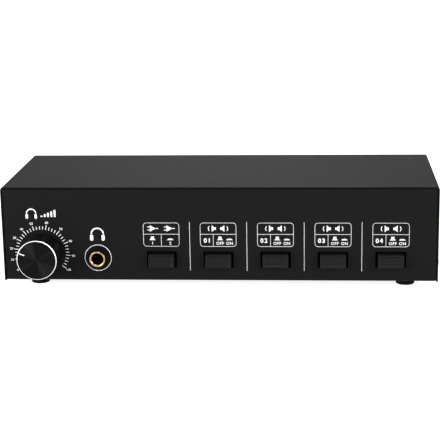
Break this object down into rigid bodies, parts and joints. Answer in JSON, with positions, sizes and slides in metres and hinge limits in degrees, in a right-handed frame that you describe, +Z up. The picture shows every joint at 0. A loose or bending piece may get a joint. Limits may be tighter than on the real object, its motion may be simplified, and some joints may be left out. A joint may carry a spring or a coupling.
{
  "type": "speaker selector switch",
  "caption": "Black steel speaker selector box with a headphone volume knob and jack and push buttons on the front, and spring wire terminals with levers on the rear.",
  "frame": {"origin": "on the ground, under the middle of the whole object", "axes": "+X to the right seen from the front, -Y towards the front panel, +Z up"},
  "size_m": [0.2432, 0.122, 0.0585],
  "materials": {
    "chassis_paint": "black powder coat, fine texture",
    "cover_paint": "black powder coat, fine texture",
    "black_screw": "black zinc plate",
    "foot_rubber": "moulded rubber",
    "circuit_board": "green solder mask",
    "zinc_steel": "zinc plate",
    "spring_steel": "drawn wire",
    "copper": "bare copper",
    "switch_plastic": "moulded",
    "plunger_plastic": "moulded",
    "nickel": "nickel plate",
    "shaft_aluminium": "turned",
    "knob_aluminium": "black anodised, spun face",
    "button_plastic": "moulded, satin",
    "jack_plastic": "moulded",
    "gilt": "gold plate",
    "black_nut": "black plate",
    "terminal_plastic": "moulded, satin",
    "contact_metal": "tinned",
    "red_plastic": "moulded",
    "black_plastic": "moulded"
  },
  "bodies": {
    "case": {"chassis": "chassis_paint", "cover": "cover_paint", "cover_screws": "black_screw", "feet": "foot_rubber", "main_board": "circuit_board", "board_screws": "zinc_steel", "terminal_board": "circuit_board", "link_bars": "copper", "switch_bodies": "switch_plastic", "volume_control": "nickel", "volume_washer": "nickel", "volume_nut": "nickel", "jack_housing": "jack_plastic", "jack_ferrule": "gilt", "jack_nut": "black_nut", "terminal_blocks": "terminal_plastic", "contact_clips": "contact_metal", "input_spring": "spring_steel", "output_1_spring": "spring_steel", "output_2_spring": "spring_steel", "output_3_spring": "spring_steel", "output_4_spring": "spring_steel"},
    "input_button": {"input_button": "button_plastic", "input_plunger": "plunger_plastic"},
    "output_1_button": {"output_1_button": "button_plastic", "output_1_plunger": "plunger_plastic"},
    "output_2_button": {"output_2_button": "button_plastic", "output_2_plunger": "plunger_plastic"},
    "output_3_button": {"output_3_button": "button_plastic", "output_3_plunger": "plunger_plastic"},
    "output_4_button": {"output_4_button": "button_plastic", "output_4_plunger": "plunger_plastic"},
    "volume": {"volume_knob": "knob_aluminium", "volume_shaft": "shaft_aluminium", "knob_screw": "black_screw"},
    "input_1_left_red_lever": {"input_1_left_red_lever": "red_plastic"},
    "input_1_left_black_lever": {"input_1_left_black_lever": "black_plastic"},
    "input_1_right_red_lever": {"input_1_right_red_lever": "red_plastic"},
    "input_1_right_black_lever": {"input_1_right_black_lever": "black_plastic"},
    "output_1_left_red_lever": {"output_1_left_red_lever": "red_plastic"},
    "output_1_left_black_lever": {"output_1_left_black_lever": "black_plastic"},
    "output_1_right_red_lever": {"output_1_right_red_lever": "red_plastic"},
    "output_1_right_black_lever": {"output_1_right_black_lever": "black_plastic"},
    "output_3_left_red_lever": {"output_3_left_red_lever": "red_plastic"},
    "output_3_left_black_lever": {"output_3_left_black_lever": "black_plastic"},
    "output_3_right_red_lever": {"output_3_right_red_lever": "red_plastic"},
    "output_3_right_black_lever": {"output_3_right_black_lever": "black_plastic"},
    "input_2_left_red_lever": {"input_2_left_red_lever": "red_plastic"},
    "input_2_left_black_lever": {"input_2_left_black_lever": "black_plastic"},
    "input_2_right_red_lever": {"input_2_right_red_lever": "red_plastic"},
    "input_2_right_black_lever": {"input_2_right_black_lever": "black_plastic"},
    "output_2_left_red_lever": {"output_2_left_red_lever": "red_plastic"},
    "output_2_left_black_lever": {"output_2_left_black_lever": "black_plastic"},
    "output_2_right_red_lever": {"output_2_right_red_lever": "red_plastic"},
    "output_2_right_black_lever": {"output_2_right_black_lever": "black_plastic"},
    "output_4_left_red_lever": {"output_4_left_red_lever": "red_plastic"},
    "output_4_left_black_lever": {"output_4_left_black_lever": "black_plastic"},
    "output_4_right_red_lever": {"output_4_right_red_lever": "red_plastic"},
    "output_4_right_black_lever": {"output_4_right_black_lever": "black_plastic"}
  },
  "joints": [
    {"name": "input_press", "type": "slide", "parent": "case", "child": "input_button", "axis": [0, 1, 0], "range_m": [0, 0.003], "stiffness_N_per_m": 400, "springref_m": -0.002, "deforming": ["input_spring"]},
    {"name": "output_1_press", "type": "slide", "parent": "case", "child": "output_1_button", "axis": [0, 1, 0], "range_m": [0, 0.003], "stiffness_N_per_m": 400, "springref_m": -0.002, "deforming": ["output_1_spring"]},
    {"name": "output_2_press", "type": "slide", "parent": "case", "child": "output_2_button", "axis": [0, 1, 0], "range_m": [0, 0.003], "stiffness_N_per_m": 400, "springref_m": -0.002, "deforming": ["output_2_spring"]},
    {"name": "output_3_press", "type": "slide", "parent": "case", "child": "output_3_button", "axis": [0, 1, 0], "range_m": [0, 0.003], "stiffness_N_per_m": 400, "springref_m": -0.002, "deforming": ["output_3_spring"]},
    {"name": "output_4_press", "type": "slide", "parent": "case", "child": "output_4_button", "axis": [0, 1, 0], "range_m": [0, 0.003], "stiffness_N_per_m": 400, "springref_m": -0.002, "deforming": ["output_4_spring"]},
    {"name": "volume_turn", "type": "hinge", "parent": "case", "child": "volume", "pos_m": [-0.0981, -0.045, 0.0214], "axis": [0, 1, 0], "range_deg": [-57.4, 191.7]},
    {"name": "input_1_left_red_press", "type": "hinge", "parent": "case", "child": "input_1_left_red_lever", "pos_m": [0.0951, 0.048, 0.0483], "axis": [-1, 0, 0], "range_deg": [0, 15], "stiffness_Nm_per_rad": 0.05, "springref_deg": -11.46},
    {"name": "input_1_left_black_press", "type": "hinge", "parent": "case", "child": "input_1_left_black_lever", "pos_m": [0.0817, 0.048, 0.0483], "axis": [-1, 0, 0], "range_deg": [0, 15], "stiffness_Nm_per_rad": 0.05, "springref_deg": -11.46},
    {"name": "input_1_right_red_press", "type": "hinge", "parent": "case", "child": "input_1_right_red_lever", "pos_m": [0.0683, 0.048, 0.0483], "axis": [-1, 0, 0], "range_deg": [0, 15], "stiffness_Nm_per_rad": 0.05, "springref_deg": -11.46},
    {"name": "input_1_right_black_press", "type": "hinge", "parent": "case", "child": "input_1_right_black_lever", "pos_m": [0.0549, 0.048, 0.0483], "axis": [-1, 0, 0], "range_deg": [0, 15], "stiffness_Nm_per_rad": 0.05, "springref_deg": -11.46},
    {"name": "output_1_left_red_press", "type": "hinge", "parent": "case", "child": "output_1_left_red_lever", "pos_m": [0.0201, 0.048, 0.0483], "axis": [-1, 0, 0], "range_deg": [0, 15], "stiffness_Nm_per_rad": 0.05, "springref_deg": -11.46},
    {"name": "output_1_left_black_press", "type": "hinge", "parent": "case", "child": "output_1_left_black_lever", "pos_m": [0.0067, 0.048, 0.0483], "axis": [-1, 0, 0], "range_deg": [0, 15], "stiffness_Nm_per_rad": 0.05, "springref_deg": -11.46},
    {"name": "output_1_right_red_press", "type": "hinge", "parent": "case", "child": "output_1_right_red_lever", "pos_m": [-0.0067, 0.048, 0.0483], "axis": [-1, 0, 0], "range_deg": [0, 15], "stiffness_Nm_per_rad": 0.05, "springref_deg": -11.46},
    {"name": "output_1_right_black_press", "type": "hinge", "parent": "case", "child": "output_1_right_black_lever", "pos_m": [-0.0201, 0.048, 0.0483], "axis": [-1, 0, 0], "range_deg": [0, 15], "stiffness_Nm_per_rad": 0.05, "springref_deg": -11.46},
    {"name": "output_3_left_red_press", "type": "hinge", "parent": "case", "child": "output_3_left_red_lever", "pos_m": [-0.0549, 0.048, 0.0483], "axis": [-1, 0, 0], "range_deg": [0, 15], "stiffness_Nm_per_rad": 0.05, "springref_deg": -11.46},
    {"name": "output_3_left_black_press", "type": "hinge", "parent": "case", "child": "output_3_left_black_lever", "pos_m": [-0.0683, 0.048, 0.0483], "axis": [-1, 0, 0], "range_deg": [0, 15], "stiffness_Nm_per_rad": 0.05, "springref_deg": -11.46},
    {"name": "output_3_right_red_press", "type": "hinge", "parent": "case", "child": "output_3_right_red_lever", "pos_m": [-0.0817, 0.048, 0.0483], "axis": [-1, 0, 0], "range_deg": [0, 15], "stiffness_Nm_per_rad": 0.05, "springref_deg": -11.46},
    {"name": "output_3_right_black_press", "type": "hinge", "parent": "case", "child": "output_3_right_black_lever", "pos_m": [-0.0951, 0.048, 0.0483], "axis": [-1, 0, 0], "range_deg": [0, 15], "stiffness_Nm_per_rad": 0.05, "springref_deg": -11.46},
    {"name": "input_2_left_red_press", "type": "hinge", "parent": "case", "child": "input_2_left_red_lever", "pos_m": [0.0951, 0.048, 0.0247], "axis": [-1, 0, 0], "range_deg": [0, 15], "stiffness_Nm_per_rad": 0.05, "springref_deg": -11.46},
    {"name": "input_2_left_black_press", "type": "hinge", "parent": "case", "child": "input_2_left_black_lever", "pos_m": [0.0817, 0.048, 0.0247], "axis": [-1, 0, 0], "range_deg": [0, 15], "stiffness_Nm_per_rad": 0.05, "springref_deg": -11.46},
    {"name": "input_2_right_red_press", "type": "hinge", "parent": "case", "child": "input_2_right_red_lever", "pos_m": [0.0683, 0.048, 0.0247], "axis": [-1, 0, 0], "range_deg": [0, 15], "stiffness_Nm_per_rad": 0.05, "springref_deg": -11.46},
    {"name": "input_2_right_black_press", "type": "hinge", "parent": "case", "child": "input_2_right_black_lever", "pos_m": [0.0549, 0.048, 0.0247], "axis": [-1, 0, 0], "range_deg": [0, 15], "stiffness_Nm_per_rad": 0.05, "springref_deg": -11.46},
    {"name": "output_2_left_red_press", "type": "hinge", "parent": "case", "child": "output_2_left_red_lever", "pos_m": [0.0201, 0.048, 0.0247], "axis": [-1, 0, 0], "range_deg": [0, 15], "stiffness_Nm_per_rad": 0.05, "springref_deg": -11.46},
    {"name": "output_2_left_black_press", "type": "hinge", "parent": "case", "child": "output_2_left_black_lever", "pos_m": [0.0067, 0.048, 0.0247], "axis": [-1, 0, 0], "range_deg": [0, 15], "stiffness_Nm_per_rad": 0.05, "springref_deg": -11.46},
    {"name": "output_2_right_red_press", "type": "hinge", "parent": "case", "child": "output_2_right_red_lever", "pos_m": [-0.0067, 0.048, 0.0247], "axis": [-1, 0, 0], "range_deg": [0, 15], "stiffness_Nm_per_rad": 0.05, "springref_deg": -11.46},
    {"name": "output_2_right_black_press", "type": "hinge", "parent": "case", "child": "output_2_right_black_lever", "pos_m": [-0.0201, 0.048, 0.0247], "axis": [-1, 0, 0], "range_deg": [0, 15], "stiffness_Nm_per_rad": 0.05, "springref_deg": -11.46},
    {"name": "output_4_left_red_press", "type": "hinge", "parent": "case", "child": "output_4_left_red_lever", "pos_m": [-0.0549, 0.048, 0.0247], "axis": [-1, 0, 0], "range_deg": [0, 15], "stiffness_Nm_per_rad": 0.05, "springref_deg": -11.46},
    {"name": "output_4_left_black_press", "type": "hinge", "parent": "case", "child": "output_4_left_black_lever", "pos_m": [-0.0683, 0.048, 0.0247], "axis": [-1, 0, 0], "range_deg": [0, 15], "stiffness_Nm_per_rad": 0.05, "springref_deg": -11.46},
    {"name": "output_4_right_red_press", "type": "hinge", "parent": "case", "child": "output_4_right_red_lever", "pos_m": [-0.0817, 0.048, 0.0247], "axis": [-1, 0, 0], "range_deg": [0, 15], "stiffness_Nm_per_rad": 0.05, "springref_deg": -11.46},
    {"name": "output_4_right_black_press", "type": "hinge", "parent": "case", "child": "output_4_right_black_lever", "pos_m": [-0.0951, 0.048, 0.0247], "axis": [-1, 0, 0], "range_deg": [0, 15], "stiffness_Nm_per_rad": 0.05, "springref_deg": -11.46}
  ]
}
